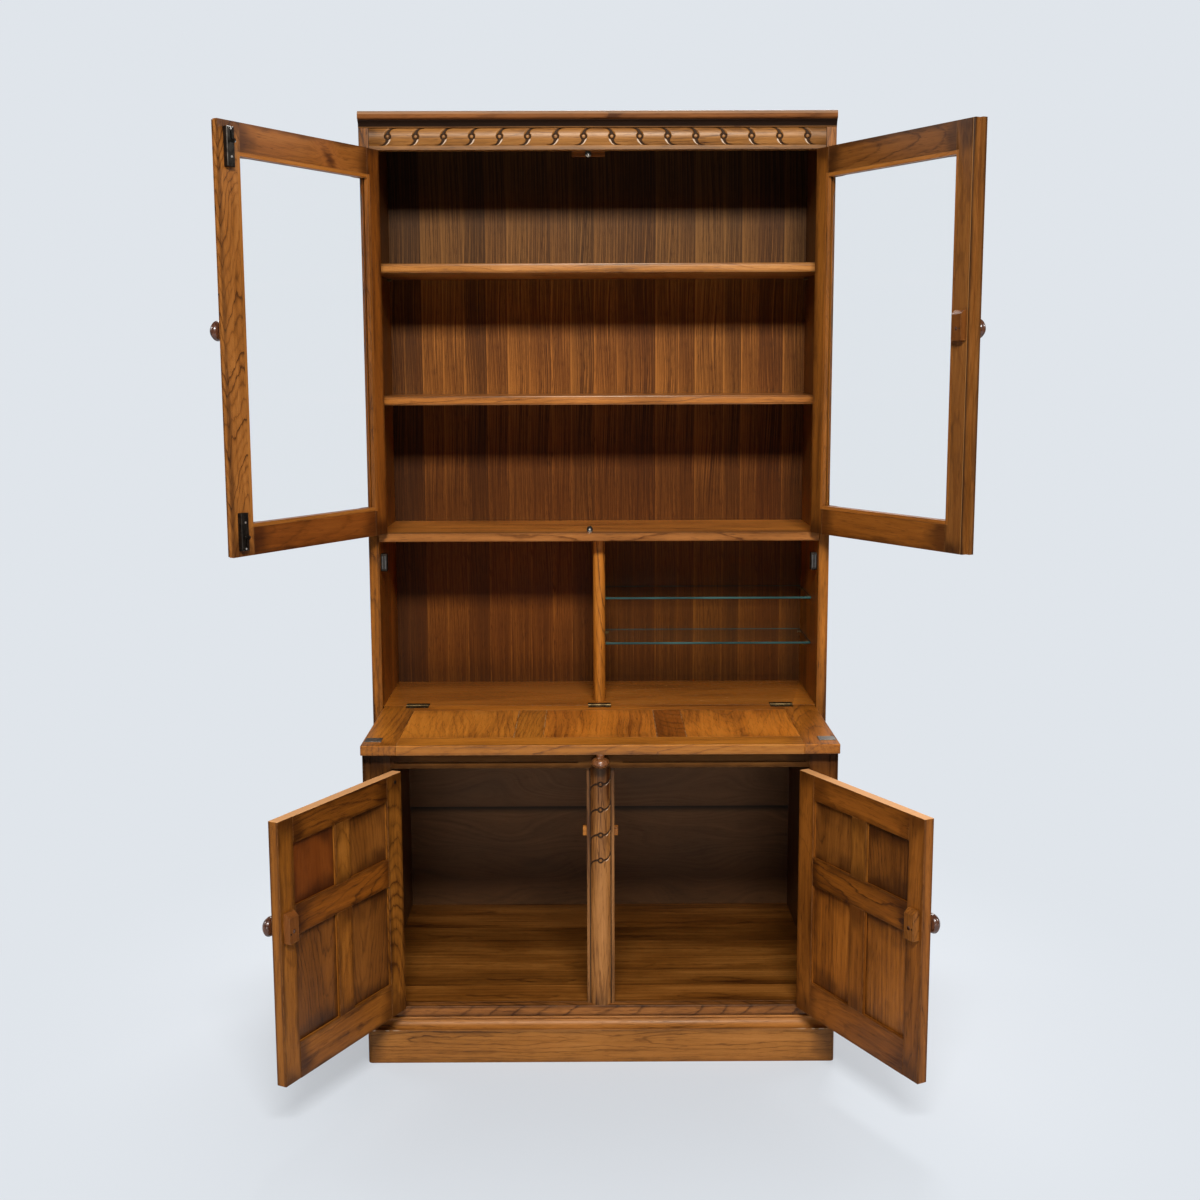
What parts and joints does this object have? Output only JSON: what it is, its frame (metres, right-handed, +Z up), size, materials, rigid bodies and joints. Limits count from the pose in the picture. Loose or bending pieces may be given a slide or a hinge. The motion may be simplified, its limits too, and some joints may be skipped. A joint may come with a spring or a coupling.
{
  "type": "display cabinet",
  "caption": "Tall wooden display cabinet with glazed doors and shelves above a fall-front writing flap, and a panelled cupboard with a deeper base below.",
  "frame": {"origin": "on the floor, at the middle of the footprint from the plinth's face to the back", "axes": "+X to the right seen from the front, -Y to the front, +Z up"},
  "size_m": [1.4528, 0.9806, 1.94],
  "materials": {
    "oak": "stained and waxed",
    "back_veneer": "stained veneer",
    "dark_ply": "dark stained ply",
    "dark_turned_wood": "dark polished",
    "aged_brass": "aged",
    "dark_bronze": "bronzed",
    "clear_glass": "clear float"
  },
  "bodies": {
    "carcase": {"tall_side_left": "oak", "tall_side_right": "oak", "top_board": "oak", "cornice_cove": "oak", "frieze_rail": "oak", "upper_back_panel": "back_veneer", "middle_board": "oak", "lower_shelf": "oak", "upper_shelf": "oak", "shelf_pegs": "aged_brass", "desk_divider": "oak", "lower_glass_shelf": "clear_glass", "upper_glass_shelf": "clear_glass", "glass_shelf_studs": "aged_brass", "desk_floor": "oak", "bolt_keeper_block": "oak", "bolt_keepers": "dark_bronze", "flap_catches": "dark_bronze", "base_side_left": "oak", "base_side_right": "oak", "base_post_left": "oak", "base_post_right": "oak", "base_top_board": "oak", "base_top_rail": "oak", "bottom_rail": "oak", "cupboard_floor": "oak", "base_back_panel": "dark_ply", "base_back_rail": "dark_ply", "mullion": "oak", "plinth_front": "oak", "plinth_frame": "oak", "plinth_cap": "oak", "hinge_frame_leaves": "aged_brass"},
    "upper_left_door": {"upper_left_door_frame": "oak", "upper_left_door_glass": "clear_glass", "upper_left_hinge_leaves": "aged_brass", "upper_left_knob": "dark_turned_wood", "bolt_cases": "dark_bronze"},
    "upper_bolt": {"upper_bolt": "dark_bronze"},
    "lower_bolt": {"lower_bolt": "dark_bronze"},
    "upper_right_door": {"upper_right_door_frame": "oak", "upper_right_door_glass": "clear_glass", "upper_right_hinge_leaves": "aged_brass"},
    "upper_right_catch": {"upper_right_knob": "dark_turned_wood", "upper_right_turn_button": "oak"},
    "lower_left_door": {"lower_left_door_frame": "oak", "lower_left_door_panels": "oak", "lower_left_hinge_leaves": "aged_brass"},
    "lower_left_catch": {"lower_left_knob": "dark_turned_wood", "lower_left_turn_button": "oak"},
    "lower_right_door": {"lower_right_door_frame": "oak", "lower_right_door_panels": "oak", "lower_right_hinge_leaves": "aged_brass"},
    "lower_right_catch": {"lower_right_knob": "dark_turned_wood", "lower_right_turn_button": "oak"},
    "fall_flap": {"flap_frame": "oak", "flap_panels": "oak", "flap_strikers": "dark_bronze", "flap_knob": "dark_turned_wood", "flap_hinge_leaves": "aged_brass"}
  },
  "joints": [
    {"name": "upper_left_door_hinge", "type": "hinge", "parent": "carcase", "child": "upper_left_door", "pos_m": [-0.47725, 0.0152, 1.459], "axis": [0, 0, 1], "range_deg": [-10, 119.3]},
    {"name": "upper_right_door_hinge", "type": "hinge", "parent": "carcase", "child": "upper_right_door", "pos_m": [0.47725, 0.0152, 1.459], "axis": [0, 0, 1], "range_deg": [-119.3, 10]},
    {"name": "upper_bolt_slide", "type": "slide", "parent": "upper_left_door", "child": "upper_bolt", "axis": [0, 0, 1], "range_m": [0, 0.016]},
    {"name": "lower_bolt_slide", "type": "slide", "parent": "upper_left_door", "child": "lower_bolt", "axis": [0, 0, -1], "range_m": [0, 0.016]},
    {"name": "upper_right_catch_turn", "type": "hinge", "parent": "upper_right_door", "child": "upper_right_catch", "pos_m": [0.69526, -0.38105, 1.481], "axis": [0.8721, 0.4894, 0], "range_deg": [0, 90]},
    {"name": "lower_left_door_hinge", "type": "hinge", "parent": "carcase", "child": "lower_left_door", "pos_m": [-0.42025, -0.3018, 0.3645], "axis": [0, 0, 1], "range_deg": [-10, 117]},
    {"name": "lower_right_door_hinge", "type": "hinge", "parent": "carcase", "child": "lower_right_door", "pos_m": [0.42025, -0.3018, 0.3645], "axis": [0, 0, 1], "range_deg": [-117, 10]},
    {"name": "lower_left_catch_turn", "type": "hinge", "parent": "lower_left_door", "child": "lower_left_catch", "pos_m": [-0.58518, -0.63387, 0.409], "axis": [0.891, -0.454, 0], "range_deg": [0, 90]},
    {"name": "lower_right_catch_turn", "type": "hinge", "parent": "lower_right_door", "child": "lower_right_catch", "pos_m": [0.58518, -0.63387, 0.409], "axis": [0.891, 0.454, 0], "range_deg": [0, 90]},
    {"name": "fall_flap_hinge", "type": "hinge", "parent": "carcase", "child": "fall_flap", "pos_m": [0, 0.039, 0.6703], "axis": [-1, 0, 0], "range_deg": [0, 90]}
  ]
}
